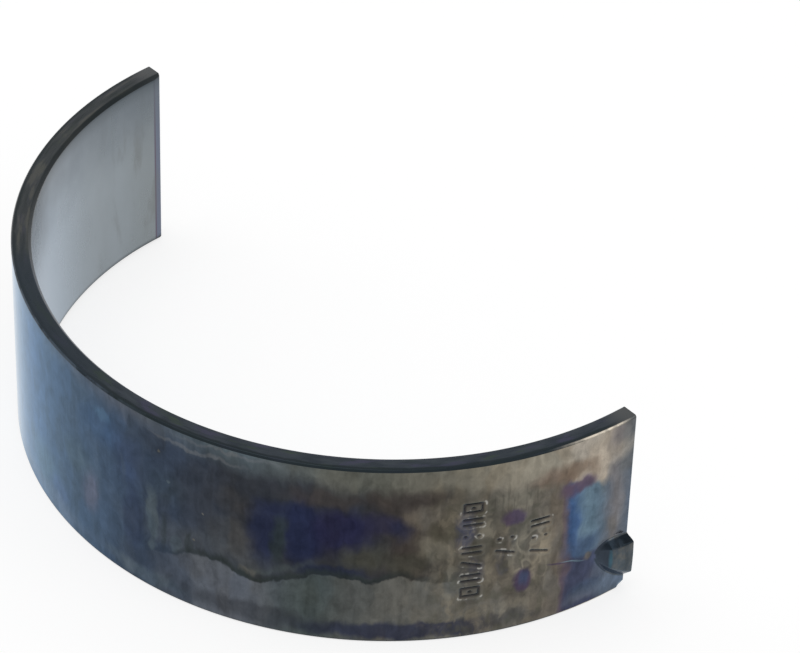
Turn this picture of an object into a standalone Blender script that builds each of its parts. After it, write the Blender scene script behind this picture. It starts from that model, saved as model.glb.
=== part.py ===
"""One half shell of a connecting rod bearing, standing on its lower edge.

The shell is a strip of lined steel, bent into a half ring and coined to thickness. It is shown
free, as it is before fitting, so it stands a little wider than the housing it snaps into and its
arc is a little less than a half circle. A locating lug is pressed out of one parting face, which
leaves a recess in the bore behind it. Metres, +Z up, open side towards +Y, origin at the centre
of the footprint on the plane of the lower edge.
"""
import math

import bmesh
import bpy
from mathutils import Vector

MM = 0.001

# Shell: what the housing and the journal set. Each end stands past the housing's split by the
# crush height, which is what clamps the pair when the housing is bolted up.
HOUSING_BORE = 60.3 * MM
FREE_SPREAD = 0.6 * MM
CRUSH_HEIGHT = 0.07 * MM
WALL = 1.65 * MM
WIDTH = 17.8 * MM

# Rim edges, each broken by a chamfer given as radial depth and axial height
OUTER_CHAMFER_DEPTH = 0.12 * MM
OUTER_CHAMFER_HEIGHT = 0.16 * MM
INNER_CHAMFER_DEPTH = 0.26 * MM
INNER_CHAMFER_HEIGHT = 0.28 * MM

# Relief of the bore along each parting face
RELIEF_LENGTH = 0.7 * MM
RELIEF_DEPTH = 0.13 * MM

# Locating lug on the outside, at the parting face of the +X end
LUG_HEIGHT = 0.9 * MM
LUG_LENGTH = 3.4 * MM
LUG_WIDTH = 4.4 * MM
LUG_EDGE_DISTANCE = 1.2 * MM
LUG_LEAN = 1.6 * MM

# Recess that the lug's punch leaves in the bore
RECESS_DEPTH = 0.95 * MM
RECESS_LENGTH = 2.7 * MM
RECESS_WIDTH = 3.0 * MM

# Shape of a pressed dome, as shares of its own length and half width
RAMP_START = 0.6
RAMP_DROP = 0.2
PLAN_ROUNDNESS = 0.65
LOWER_FLANK = 0.42
UPPER_FLANK_AT_FACE = 0.12
UPPER_FLANK_INSIDE = 0.45
UPPER_FLANK_GROWTH = 0.35
CROWN = 0.05

# Machining stock and cutter reach
END_STOCK = 0.4 * MM
CUTTER_REACH = 1.0 * MM
ROOT_DEPTH = 0.5 * MM
BASE_DEPTH = 0.04 * MM

# Fineness of the faceted surfaces
ARC_SEGMENTS = 240
DOME_STEPS = 14
SMOOTH_ANGLE = math.radians(20)

# Values that follow from the driving dimensions
OUTER_RADIUS = (HOUSING_BORE + FREE_SPREAD) / 2
INNER_RADIUS = OUTER_RADIUS - WALL
ARC_ANGLE = (math.pi * HOUSING_BORE / 2 + 2 * CRUSH_HEIGHT) / OUTER_RADIUS
LUG_END = -(math.pi - ARC_ANGLE) / 2
PLAIN_END = LUG_END - ARC_ANGLE
LUG_MIDDLE = LUG_EDGE_DISTANCE + LUG_WIDTH / 2

# The bore's axis, placed so that the footprint is centred on the origin
REACH_LEFT = OUTER_RADIUS * math.cos(LUG_END)
REACH_RIGHT = (OUTER_RADIUS + LUG_HEIGHT) * math.cos(LUG_END)
REACH_BACK = (INNER_RADIUS + RELIEF_DEPTH) * math.sin(LUG_END)
AXIS = Vector(((REACH_LEFT - REACH_RIGHT) / 2, (OUTER_RADIUS - REACH_BACK) / 2, 0))


def clear_scene():
    for item in list(bpy.data.objects):
        bpy.data.objects.remove(item, do_unlink=True)


def around(radius, angle, height):
    """A point at this radius and angle about the bore's axis."""
    return AXIS + Vector((radius * math.cos(angle), radius * math.sin(angle), height))


def make_object(name, bm):
    """Turn a closed bmesh into an object with its faces pointing out."""
    bmesh.ops.recalc_face_normals(bm, faces=bm.faces)
    mesh = bpy.data.meshes.new(name)
    bm.to_mesh(mesh)
    bm.free()
    item = bpy.data.objects.new(name, mesh)
    bpy.context.scene.collection.objects.link(item)
    return item


def make_cutter(name, bm):
    cutter = make_object(name, bm)
    cutter.hide_render = True
    cutter.display_type = 'WIRE'
    return cutter


def bent_strip():
    """The chamfered strip section, spun round the bore's axis with stock left on both ends."""
    section = (
        (OUTER_RADIUS, OUTER_CHAMFER_HEIGHT),
        (OUTER_RADIUS, WIDTH - OUTER_CHAMFER_HEIGHT),
        (OUTER_RADIUS - OUTER_CHAMFER_DEPTH, WIDTH),
        (INNER_RADIUS + INNER_CHAMFER_DEPTH, WIDTH),
        (INNER_RADIUS, WIDTH - INNER_CHAMFER_HEIGHT),
        (INNER_RADIUS, INNER_CHAMFER_HEIGHT),
        (INNER_RADIUS + INNER_CHAMFER_DEPTH, 0),
        (OUTER_RADIUS - OUTER_CHAMFER_DEPTH, 0),
    )
    stock_angle = END_STOCK / INNER_RADIUS
    bm = bmesh.new()
    start = [bm.verts.new(around(r, PLAIN_END - stock_angle, z)) for r, z in section]
    face = bm.faces.new(start)
    bmesh.ops.spin(
        bm,
        geom=[face, *face.edges, *face.verts],
        cent=AXIS,
        axis=(0, 0, 1),
        angle=ARC_ANGLE + 2 * stock_angle,
        steps=ARC_SEGMENTS,
        use_duplicate=False,
    )
    return make_object("bearing_shell", bm)


def dome_height(along):
    """Height of a pressed dome's crest, as a share of its full height."""
    if along < RAMP_START:
        return 1 - RAMP_DROP * along / RAMP_START
    return (1 - RAMP_DROP) * (1 - along) / (1 - RAMP_START)


def dome_section(along, height, width):
    """One cross section of a dome, as pairs of place across it and height above the surface.

    Its flanks start a little below the surface, so that they meet it in a clean line.
    """
    half = width / 2 * (1 - along * along) ** PLAN_ROUNDNESS
    growth = min(along / UPPER_FLANK_GROWTH, 1)
    upper_flank = UPPER_FLANK_AT_FACE + (UPPER_FLANK_INSIDE - UPPER_FLANK_AT_FACE) * growth
    rise = (height + BASE_DEPTH) * dome_height(along)
    lower_corner = -1 + LOWER_FLANK
    upper_corner = 1 - upper_flank
    middle = (lower_corner + upper_corner) / 2
    shape = (
        (-1, 0),
        (lower_corner, 1 - CROWN),
        ((lower_corner + middle) / 2, 1 - CROWN / 4),
        (middle, 1),
        ((upper_corner + middle) / 2, 1 - CROWN / 4),
        (upper_corner, 1 - CROWN),
        (1, 0),
    )
    return [(across * half, share * rise - BASE_DEPTH) for across, share in shape]


def pressed_dome(name, base_radius, height, length, width):
    """A dome on the base radius, lofted from past the parting face to its nose.

    It stands outwards, and its root reaches towards the axis.
    """
    bm = bmesh.new()
    rings = []
    for step in range(-1, DOME_STEPS):
        along = max(step, 0) / DOME_STEPS
        ahead = along * length if step >= 0 else -CUTTER_REACH
        angle = LUG_END - ahead / OUTER_RADIUS
        middle = LUG_MIDDLE + LUG_LEAN * along * length / LUG_LENGTH
        outline = dome_section(along, height, width)
        root = [(outline[-1][0], -ROOT_DEPTH), (outline[0][0], -ROOT_DEPTH)]
        ring = []
        for across, rise in [*outline, *root]:
            ring.append(bm.verts.new(around(base_radius + rise, angle, middle + across)))
        rings.append(ring)
    for ring in rings:
        for first, second in zip(ring, ring[1:] + ring[:1]):
            bm.edges.new((first, second))
    for before, after in zip(rings, rings[1:]):
        edges = [edge for edge in bm.edges if all(v in before or v in after for v in edge.verts)]
        bmesh.ops.bridge_loops(bm, edges=edges)
    bm.faces.new(rings[0])
    nose_angle = LUG_END - length / OUTER_RADIUS
    nose_height = LUG_MIDDLE + LUG_LEAN * length / LUG_LENGTH
    nose = bm.verts.new(around(base_radius - BASE_DEPTH, nose_angle, nose_height))
    heel = bm.verts.new(around(base_radius - ROOT_DEPTH, nose_angle, nose_height))
    last = rings[-1]
    crest = last[:-2]
    for first, second in zip(crest, crest[1:]):
        bm.faces.new((first, second, nose))
    bm.faces.new((crest[-1], last[-2], heel, nose))
    bm.faces.new((last[-2], last[-1], heel))
    bm.faces.new((last[-1], crest[0], nose, heel))
    return make_cutter(name, bm)


def upright_prism(bm, corners, low, high):
    """A prism from a plan outline, given as radius and angle about the bore's axis."""
    base = [bm.verts.new(around(radius, angle, low)) for radius, angle in corners]
    face = bm.faces.new(base)
    grown = bmesh.ops.extrude_face_region(bm, geom=[face])
    raised = [item for item in grown["geom"] if isinstance(item, bmesh.types.BMVert)]
    bmesh.ops.translate(bm, verts=raised, vec=(0, 0, high - low))


def parting_plane(name, end, outwards):
    """Cutter that planes one end of the strip square to its arc, on a plane through the axis."""
    inner = INNER_RADIUS - CUTTER_REACH
    outer = OUTER_RADIUS + LUG_HEIGHT + CUTTER_REACH
    depth = outwards * 2 * CUTTER_REACH / inner
    bm = bmesh.new()
    corners = ((inner, end), (outer, end), (outer, end + depth), (inner, end + depth))
    upright_prism(bm, corners, -CUTTER_REACH, WIDTH + CUTTER_REACH)
    return make_cutter(name, bm)


def bore_relief(name, end, outwards):
    """Cutter that eases the bore's edge along one parting face."""
    face_radius = INNER_RADIUS + RELIEF_DEPTH
    slope = RELIEF_DEPTH / RELIEF_LENGTH
    over = CUTTER_REACH
    start = end - outwards * RELIEF_LENGTH / INNER_RADIUS
    past_start = start - outwards * over / INNER_RADIUS
    past_end = end + outwards * over / INNER_RADIUS
    bm = bmesh.new()
    corners = (
        (INNER_RADIUS - over * slope, past_start),
        (INNER_RADIUS, start),
        (face_radius, end),
        (face_radius + over * slope, past_end),
        (INNER_RADIUS - over, past_end),
        (INNER_RADIUS - over, past_start),
    )
    upright_prism(bm, corners, -CUTTER_REACH, WIDTH + CUTTER_REACH)
    return make_cutter(name, bm)


def combine(body, other, operation):
    step = body.modifiers.new(other.name, 'BOOLEAN')
    step.operation = operation
    step.solver = 'EXACT'
    step.object = other


def tinted_steel():
    """Steel back of the shell, darkened by heat."""
    material = bpy.data.materials.new("tinted_steel")
    material.use_nodes = True
    shader = material.node_tree.nodes["Principled BSDF"]
    shader.inputs["Base Color"].default_value = (0.13, 0.14, 0.17, 1)
    shader.inputs["Metallic"].default_value = 1.0
    shader.inputs["Roughness"].default_value = 0.34
    return material


def build():
    clear_scene()
    shell = bent_strip()
    lug = pressed_dome("lug_form", OUTER_RADIUS, LUG_HEIGHT, LUG_LENGTH, LUG_WIDTH)
    recess = pressed_dome("recess_form", INNER_RADIUS, RECESS_DEPTH, RECESS_LENGTH, RECESS_WIDTH)
    combine(shell, lug, 'UNION')
    combine(shell, recess, 'DIFFERENCE')
    for name, end, outwards in (("lug_end", LUG_END, 1), ("plain_end", PLAIN_END, -1)):
        combine(shell, parting_plane(name + "_plane", end, outwards), 'DIFFERENCE')
        combine(shell, bore_relief(name + "_relief", end, outwards), 'DIFFERENCE')
    shell.data.materials.append(tinted_steel())
    shell.data.shade_smooth()
    shell.data.set_sharp_from_angle(angle=SMOOTH_ANGLE)


build()
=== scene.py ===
import math

import bmesh
import bpy
import numpy as np
from mathutils import Matrix, Vector

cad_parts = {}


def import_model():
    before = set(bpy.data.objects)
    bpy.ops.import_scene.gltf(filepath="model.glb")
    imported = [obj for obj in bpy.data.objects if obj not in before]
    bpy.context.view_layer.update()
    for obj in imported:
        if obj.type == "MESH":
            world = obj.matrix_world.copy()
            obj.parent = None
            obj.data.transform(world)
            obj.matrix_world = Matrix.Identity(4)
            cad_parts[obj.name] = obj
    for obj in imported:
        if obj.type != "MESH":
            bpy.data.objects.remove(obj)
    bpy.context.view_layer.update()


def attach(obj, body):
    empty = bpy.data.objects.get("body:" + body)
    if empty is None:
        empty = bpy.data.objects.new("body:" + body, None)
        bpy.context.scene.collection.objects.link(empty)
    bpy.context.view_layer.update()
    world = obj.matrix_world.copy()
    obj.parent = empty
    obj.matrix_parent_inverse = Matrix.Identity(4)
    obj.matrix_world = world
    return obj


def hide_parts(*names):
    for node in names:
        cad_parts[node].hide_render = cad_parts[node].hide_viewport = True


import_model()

MM = 0.001

# All sizes are in millimetres. Places on the shell are given by three numbers: the way round the
# back from the lug's parting face, the height above the lower edge, and the depth under the back.

# The shell's form, as in its solid
HOUSING_BORE = 60.3
FREE_SPREAD = 0.6
CRUSH_HEIGHT = 0.07
WALL = 1.65
WIDTH = 17.8
OUTER_CHAMFER = (0.12, 0.16)
INNER_CHAMFER = (0.26, 0.28)
RELIEF_LENGTH = 0.7
RELIEF_DEPTH = 0.13
LUG_HEIGHT = 0.9
LUG_LENGTH = 3.4
LUG_WIDTH = 4.4
LUG_EDGE_DISTANCE = 1.2
LUG_LEAN = 1.6
RECESS_DEPTH = 0.95
RECESS_LENGTH = 2.7
RECESS_WIDTH = 3.0

# Shape of the pressed domes, as shares of their length and half width
RAMP_START = 0.6
RAMP_DROP = 0.2
PLAN_ROUNDNESS = 0.65
LOWER_FLANK = 0.42
UPPER_FLANK_AT_FACE = 0.12
UPPER_FLANK_INSIDE = 0.45
UPPER_FLANK_GROWTH = 0.35
CROWN = 0.05
CREASE_ROUNDING = 0.09

# Broken edges
CORNER_CUT = 0.05
CORNER_STEPS = 4
END_BREAK = 0.05

# The lower outer corner at the lug's end, which is struck off wider than the rest
STRUCK_DEPTH = 0.32
STRUCK_HEIGHT = 0.62
STRUCK_LENGTH = 0.7

# Values that follow
OUTER_RADIUS = (HOUSING_BORE + FREE_SPREAD) / 2
INNER_RADIUS = OUTER_RADIUS - WALL
ARC_ANGLE = (math.pi * HOUSING_BORE / 2 + 2 * CRUSH_HEIGHT) / OUTER_RADIUS
ARC_LENGTH = OUTER_RADIUS * ARC_ANGLE
LUG_END = -(math.pi - ARC_ANGLE) / 2
LUG_MIDDLE = LUG_EDGE_DISTANCE + LUG_WIDTH / 2
AXIS_X = -LUG_HEIGHT * math.cos(LUG_END) / 2
AXIS_Y = (OUTER_RADIUS - (INNER_RADIUS + RELIEF_DEPTH) * math.sin(LUG_END)) / 2

# Stamped marks: three columns of plain ticks, frames and dots that spell nothing. A column is its
# way round the back, the height of its top mark and the step to the next mark
STAMP_DEPTH = 0.09
STAMP_LIP = 0.035
STROKE_HALF_WIDTH = 0.13
FIRST_COLUMN = (14.25, 13.45, -1.45)
SECOND_COLUMN = (11.5, 9.75, -1.4)
THIRD_COLUMN = (8.6, 10.6, -1.5)
MARK_HALF = (0.72, 0.4)

# Camera, as fitted to the photograph's rim edges
VIEW_AZIMUTH = math.radians(47.483)
VIEW_ELEVATION = math.radians(38.585)
VIEW_ROLL = math.radians(2.025)
VIEW_DISTANCE = 337.995
VIEW_SHIFT_RIGHT = 1.870
VIEW_SHIFT_UP = 5.914
SENSOR_WIDTH = 36.0
LENS = 179.23

# The setting: half the floor in metres, its own tone, its glow where it is seen, and the sky's fill
FLOOR_HALF = 3.0
FLOOR_TONE = 0.34
FLOOR_GLOW = 0.75
SKY_FILL = 0.55

# The faces' materials, in the order in which the shell takes them
BACK, RIM, BORE, END = range(4)

# Edges that turn by more than SHARP_ANGLE are drawn sharp, and depths within TINY are the same
SHARP_ANGLE = math.radians(40)
TINY = 1e-6


def dome_height(along):
    """Height of a pressed dome's crest, as a share of its full height."""
    plateau = 1 - RAMP_DROP * along / RAMP_START
    ramp = (1 - RAMP_DROP) * (1 - along) / (1 - RAMP_START)
    return np.where(along < RAMP_START, plateau, ramp)


def sharp_dome(way, height, crest, length, width):
    """Height of a pressed dome over the surface at each place, with its creases sharp."""
    along = np.clip(way / length, 0, 1)
    half = width / 2 * (1 - along * along) ** PLAN_ROUNDNESS + TINY
    middle = LUG_MIDDLE + LUG_LEAN * along * length / LUG_LENGTH
    across = (height - middle) / half
    growth = np.clip(along / UPPER_FLANK_GROWTH, 0, 1)
    upper = 1 - (UPPER_FLANK_AT_FACE + (UPPER_FLANK_INSIDE - UPPER_FLANK_AT_FACE) * growth)
    lower = -1 + LOWER_FLANK
    centre = (lower + upper) / 2
    bow = 1 - CROWN * ((across - centre) / (upper - centre)) ** 2
    rise = np.where(across < lower, (across + 1) / LOWER_FLANK, bow)
    rise = np.where(across > upper, (1 - across) / (1 - upper), rise)
    rise = np.where(np.abs(across) < 1, np.minimum(rise, bow), 0)
    return crest * np.maximum(rise, 0) * dome_height(along)


def dome(way, height, crest, length, width):
    """A pressed dome with its creases rounded."""
    total = 0
    steps = (-1, -0.5, 0, 0.5, 1)
    for shift_way in steps:
        for shift_height in steps:
            total = total + sharp_dome(
                np.abs(way + shift_way * CREASE_ROUNDING),
                height + shift_height * CREASE_ROUNDING,
                crest,
                length,
                width,
            )
    return total / len(steps) ** 2


def mark_strokes():
    """The strokes of every stamped mark, each from one point to another."""
    half_way, half_height = MARK_HALF
    frame_mark = (
        ((-1, -1), (1, -1)),
        ((1, -1), (1, 1)),
        ((1, 1), (-1, 1)),
        ((-1, 1), (-1, -1)),
        ((-0.1, 0), (0.1, 0)),
    )
    ticks = (((-1, -0.7), (1, -0.7)), ((-1, 0.7), (1, 0.7)))
    slant = (((-1, -0.6), (1, 0.6)),)
    dots = (((-0.8, 0), (-0.7, 0)), ((0.7, 0), (0.8, 0)))
    columns = (
        (FIRST_COLUMN, (frame_mark, ticks, dots, ticks, slant, ticks, frame_mark)),
        (SECOND_COLUMN, (dots, slant)),
        (THIRD_COLUMN, (ticks, dots, slant)),
    )
    for (way, top, pitch), marks in columns:
        for row, mark in enumerate(marks):
            for start, end in mark:
                yield tuple(
                    (way + x * half_way, top + row * pitch + y * half_height) for x, y in (start, end)
                )


def stamping(way, height):
    """Rise of the surface at the stamped marks: their grooves, and the lip beside each stroke."""
    nearest = np.full(way.shape, WIDTH)
    for (way_0, height_0), (way_1, height_1) in mark_strokes():
        run = np.array((way_1 - way_0, height_1 - height_0))
        share = ((way - way_0) * run[0] + (height - height_0) * run[1]) / (run @ run)
        share = np.clip(share, 0, 1)
        gap = np.hypot(way - way_0 - share * run[0], height - height_0 - share * run[1])
        nearest = np.minimum(nearest, gap)
    groove = np.exp(-((nearest / STROKE_HALF_WIDTH) ** 2))
    lip = np.exp(-(((nearest - 2 * STROKE_HALF_WIDTH) / STROKE_HALF_WIDTH) ** 2))
    return STAMP_LIP * lip - STAMP_DEPTH * groove


def softened(corners):
    """An outline with a small curve in place of each corner."""
    points = []
    for index, corner in enumerate(corners):
        corner = np.array(corner)
        before = np.array(corners[index - 1])
        after = np.array(corners[(index + 1) % len(corners)])
        start = corner + (before - corner) / np.linalg.norm(before - corner) * CORNER_CUT
        end = corner + (after - corner) / np.linalg.norm(after - corner) * CORNER_CUT
        for share in np.linspace(0, 1, CORNER_STEPS + 1):
            points.append((1 - share) ** 2 * start + 2 * share * (1 - share) * corner + share**2 * end)
    return points


def struck_corner(way, height, depth):
    """Moves points out of the corner that is struck off, and leaves the others."""
    plane = np.array((1 / STRUCK_HEIGHT, 1 / STRUCK_DEPTH))
    short = np.maximum(1 - height * plane[0] - depth * plane[1], 0) / (plane @ plane)
    share = max(1 - (way / STRUCK_LENGTH) ** 2, 0)
    return height + short * plane[0] * share, depth + short * plane[1] * share


def spaced(*stretches):
    """Places along a line, from stretches of start, end and spacing."""
    places = [stretches[0][0]]
    for start, end, spacing in stretches:
        count = max(round((end - start) / spacing), 1)
        places += list(np.linspace(start, end, count + 1)[1:])
    return np.array(places)


def section_points():
    """The closed section of the strip: depth under the back, height, and which face it is on."""
    outer_depth, outer_height = OUTER_CHAMFER
    inner_depth, inner_height = INNER_CHAMFER
    lower = softened((
        (0, outer_height),
        (outer_depth, 0),
        (WALL - inner_depth, 0),
        (WALL, inner_height),
        (WALL, WIDTH - inner_height),
        (WALL - inner_depth, WIDTH),
        (outer_depth, WIDTH),
        (0, WIDTH - outer_height),
    ))
    per_corner = CORNER_STEPS + 1
    bottom = lower[: 4 * per_corner]
    top = lower[4 * per_corner:]
    low_back = bottom[0][1]
    high_back = top[-1][1]
    low_bore = bottom[-1][1]
    high_bore = top[0][1]
    back_lines = spaced(
        (low_back, 1.0, 0.2), (1.0, 6.6, 0.075), (6.6, 14.2, 0.09), (14.2, high_back, 0.3)
    )
    bore_lines = spaced((low_bore, 1.8, 0.3), (1.8, 6.4, 0.14), (6.4, high_bore, 0.6))
    points = [(depth, height) for depth, height in bottom]
    points += [(WALL, height) for height in bore_lines[1:-1]]
    points += [(depth, height) for depth, height in top]
    points += [(0, height) for height in back_lines[::-1][1:-1]]
    return np.array(points)


def shell_surface():
    """Points of the shell ring by ring from the lug's end, the same unrolled, and the lug's slope."""
    section = section_points()
    ways = spaced(
        (0, END_BREAK, END_BREAK / 3),
        (END_BREAK, 3.8, 0.07),
        (3.8, 7.3, 0.25),
        (7.3, 15.5, 0.085),
        (15.5, ARC_LENGTH - 1.2, 0.5),
        (ARC_LENGTH - 1.2, ARC_LENGTH - END_BREAK, 0.1),
        (ARC_LENGTH - END_BREAK, ARC_LENGTH, END_BREAK / 3),
    )
    depth, height = section.T
    on_back = depth < TINY
    on_bore = depth > WALL - TINY
    run = np.roll(section, -1, axis=0) - np.roll(section, 1, axis=0)
    inward = np.stack((run[:, 0], -run[:, 1]), axis=1)
    inward /= np.linalg.norm(inward, axis=1)[:, None]
    rings = []
    slopes = []
    for way in ways:
        place = np.full(depth.shape, way)
        lug = dome(place, height, LUG_HEIGHT, LUG_LENGTH, LUG_WIDTH)
        higher = dome(place, height + CREASE_ROUNDING, LUG_HEIGHT, LUG_LENGTH, LUG_WIDTH)
        slopes.append(np.where(on_back, (higher - lug) / CREASE_ROUNDING, 0))
        recess = dome(place, height, RECESS_DEPTH, RECESS_LENGTH, RECESS_WIDTH)
        from_end = min(way, ARC_LENGTH - way)
        relief = RELIEF_DEPTH * max(1 - from_end / RELIEF_LENGTH, 0)
        raised = np.where(on_back, lug + stamping(place, height), 0)
        raised += np.where(on_bore, recess, 0)
        new_height, new_depth = struck_corner(way, height, depth)
        new_depth = np.minimum(new_depth - raised, WALL - relief)
        edge = max(END_BREAK - from_end, 0)
        edge = END_BREAK - math.sqrt(END_BREAK**2 - edge**2)
        ring = (place, new_height + inward[:, 0] * edge, new_depth + inward[:, 1] * edge)
        rings.append(np.stack(ring, axis=1))
    unrolled = np.array(rings)
    angle = LUG_END - unrolled[..., 0] / OUTER_RADIUS
    radius = OUTER_RADIUS - unrolled[..., 2]
    solid = np.stack(
        (AXIS_X + radius * np.cos(angle), AXIS_Y + radius * np.sin(angle), unrolled[..., 1]), axis=-1
    )
    return solid, unrolled, np.array(slopes)


def build_shell():
    """The shell's fine surface as one closed mesh."""
    solid, unrolled, slopes = shell_surface()
    ring_count, point_count = solid.shape[:2]
    section = section_points()
    index = np.arange(ring_count * point_count).reshape(ring_count, point_count)
    shifted = np.roll(index, -1, axis=1)
    quads = np.stack((index[:-1], shifted[:-1], shifted[1:], index[1:]), axis=-1).reshape(-1, 4)
    faces = quads.tolist()
    faces.append(index[0][::-1].tolist())
    faces.append(index[-1].tolist())
    mesh = bpy.data.meshes.new("bearing_shell_surface")
    mesh.from_pydata((solid.reshape(-1, 3) * MM).tolist(), [], faces)
    after = np.roll(section, -1, axis=0)
    flat_back = (section[:, 0] < TINY) & (after[:, 0] < TINY)
    flat_bore = (section[:, 0] > WALL - TINY) & (after[:, 0] > WALL - TINY)
    kind = np.where(flat_back, BACK, np.where(flat_bore, BORE, RIM))
    kinds = np.tile(kind, ring_count - 1).tolist() + [END, END]
    mesh.polygons.foreach_set("material_index", kinds)
    place = mesh.attributes.new("unrolled", 'FLOAT_VECTOR', 'POINT')
    place.data.foreach_set("vector", unrolled.reshape(-1).astype(np.float32))
    slope = mesh.attributes.new("lug_slope", 'FLOAT', 'POINT')
    slope.data.foreach_set("value", slopes.reshape(-1).astype(np.float32))
    mesh.update()
    mesh.validate()
    shell = bpy.data.objects.new("bearing_shell_surface", mesh)
    bpy.context.scene.collection.objects.link(shell)
    tidy = bmesh.new()
    tidy.from_mesh(mesh)
    bmesh.ops.recalc_face_normals(tidy, faces=tidy.faces)
    tidy.to_mesh(mesh)
    tidy.free()
    mesh.shade_smooth()
    mesh.set_sharp_from_angle(angle=SHARP_ANGLE)
    return shell


class Graph:
    """A material's nodes, with short calls for the ones that these materials use."""

    def __init__(self, name):
        self.material = bpy.data.materials.new(name)
        self.material.use_nodes = True
        self.tree = self.material.node_tree
        self.shader = self.tree.nodes["Principled BSDF"]
        self.place = self.node("ShaderNodeAttribute", attribute_name="unrolled").outputs["Vector"]

    def node(self, kind, inputs=(), **settings):
        made = self.tree.nodes.new(kind)
        for key, value in settings.items():
            setattr(made, key, value)
        for key, value in dict(inputs).items():
            self.put(value, made.inputs[key])
        return made

    def put(self, value, socket):
        if isinstance(value, bpy.types.NodeSocket):
            self.tree.links.new(value, socket)
        else:
            socket.default_value = value

    def math(self, operation, first, second=0.0):
        return self.node("ShaderNodeMath", {0: first, 1: second}, operation=operation).outputs[0]

    def affine(self, value, factor, offset):
        inputs = {0: value, 1: factor, 2: offset}
        return self.node("ShaderNodeMath", inputs, operation='MULTIPLY_ADD').outputs[0]

    def product(self, first, *others):
        """Several masks multiplied together."""
        for other in others:
            first = self.math('MULTIPLY', first, other)
        return first

    def vector(self, operation, first, second):
        made = self.node("ShaderNodeVectorMath", {0: first, 1: second}, operation=operation)
        return made.outputs["Value" if operation == 'LENGTH' else "Vector"]

    def parts(self, vector):
        return self.node("ShaderNodeSeparateXYZ", {0: vector}).outputs

    def from_end(self):
        """The way round the back to the nearer parting face."""
        way = self.parts(self.place)[0]
        return self.math('MINIMUM', way, self.math('SUBTRACT', ARC_LENGTH, way))

    def lug_slope(self):
        """How fast the back rises with height, which is 0 off the lug."""
        return self.node("ShaderNodeAttribute", attribute_name="lug_slope").outputs["Fac"]

    def noise(self, place, scale, detail=3.0, roughness=0.55, output="Fac"):
        """Cloudy noise from 0 to 1, with scale as its features for each millimetre on each axis."""
        stretched = self.vector('MULTIPLY', place, scale)
        inputs = {"Vector": stretched, "Scale": 1.0, "Detail": detail, "Roughness": roughness}
        return self.node("ShaderNodeTexNoise", inputs).outputs[output]

    def wander(self, scale, reach, detail):
        """A cloudy shift of place, by up to half the reach either way."""
        cloud = self.noise(self.place, scale, detail, output="Color")
        return self.vector('MULTIPLY', self.vector('SUBTRACT', cloud, (0.5, 0.5, 0.5)), reach)

    def profile(self, share, points):
        """A height in millimetres along the shell, from given points joined by a smooth curve."""
        made = self.node("ShaderNodeFloatCurve", {"Value": share})
        curve = made.mapping.curves[0]
        while len(curve.points) < len(points):
            curve.points.new(0.5, 0.5)
        for point, (way, height) in zip(curve.points, points):
            point.location = (way / ARC_LENGTH, height / WIDTH)
        made.mapping.update()
        return self.math('MULTIPLY', made.outputs[0], WIDTH)

    def step(self, value, low, high, before=0.0, after=1.0):
        """A smooth step from one level at low to another at high, which may be the smaller one."""
        inputs = {"Value": value, "From Min": low, "From Max": high, "To Min": before, "To Max": after}
        made = self.node("ShaderNodeMapRange", inputs, interpolation_type='SMOOTHSTEP')
        return made.outputs["Result"]

    def between(self, value, start, full, fade, end):
        """1 from full to fade, and less on either side, down to 0 at start and end."""
        return self.product(self.step(value, start, full), self.step(value, end, fade))

    def blob(self, place, centre, size, softness):
        """1 inside an ellipse round the centre, fading to 0 outside."""
        offset = self.vector('SUBTRACT', place, (*centre, 0))
        shares = self.vector('MULTIPLY', offset, (1 / size[0], 1 / size[1], 0))
        return self.step(self.vector('LENGTH', shares, (0, 0, 0)), 1 + softness, 1 - softness)

    def ramp(self, share, stops):
        """A smooth colour ramp along the shell, from pairs of place along and colour."""
        made = self.node("ShaderNodeValToRGB", {0: share})
        made.color_ramp.interpolation = 'EASE'
        while len(made.color_ramp.elements) < len(stops):
            made.color_ramp.elements.new(0.5)
        for element, (position, colour) in zip(made.color_ramp.elements, stops):
            element.position = position / ARC_LENGTH
            element.color = (*colour, 1)
        return made.outputs["Color"]

    def mix(self, share, first, second, blend='MIX'):
        made = self.node("ShaderNodeMix", data_type='RGBA', blend_type=blend)
        colours = [(*value, 1) if isinstance(value, tuple) else value for value in (first, second)]
        self.put(share, made.inputs[0])
        self.put(colours[0], made.inputs[6])
        self.put(colours[1], made.inputs[7])
        return made.outputs[2]

    def over(self, colour, overlay, mask, strength=1.0):
        """A colour with a stain, painted shade or painted highlight laid over it where its mask is, at a
        strength from 0 to 1.
        """
        return self.mix(self.product(mask, strength), colour, overlay)

    def with_ovals(self, colour, place, ovals):
        """A colour with a list of ovals laid over it, each as the table of stains and painted shade below
        describes.
        """
        for centre, size, edge, overlay, strength in ovals:
            colour = self.over(colour, overlay, self.blob(place, centre, size, edge), strength)
        return colour

    def bump(self, height, distance):
        return self.node("ShaderNodeBump", {"Height": height, "Distance": distance * MM}).outputs["Normal"]


def tint(red, green, blue):
    """Linear colour of a tint that is given as it looks on a screen, from 0 to 255."""
    shares = [value / 255 for value in (red, green, blue)]
    return tuple(((share + 0.055) / 1.055) ** 2.4 for share in shares)


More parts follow.
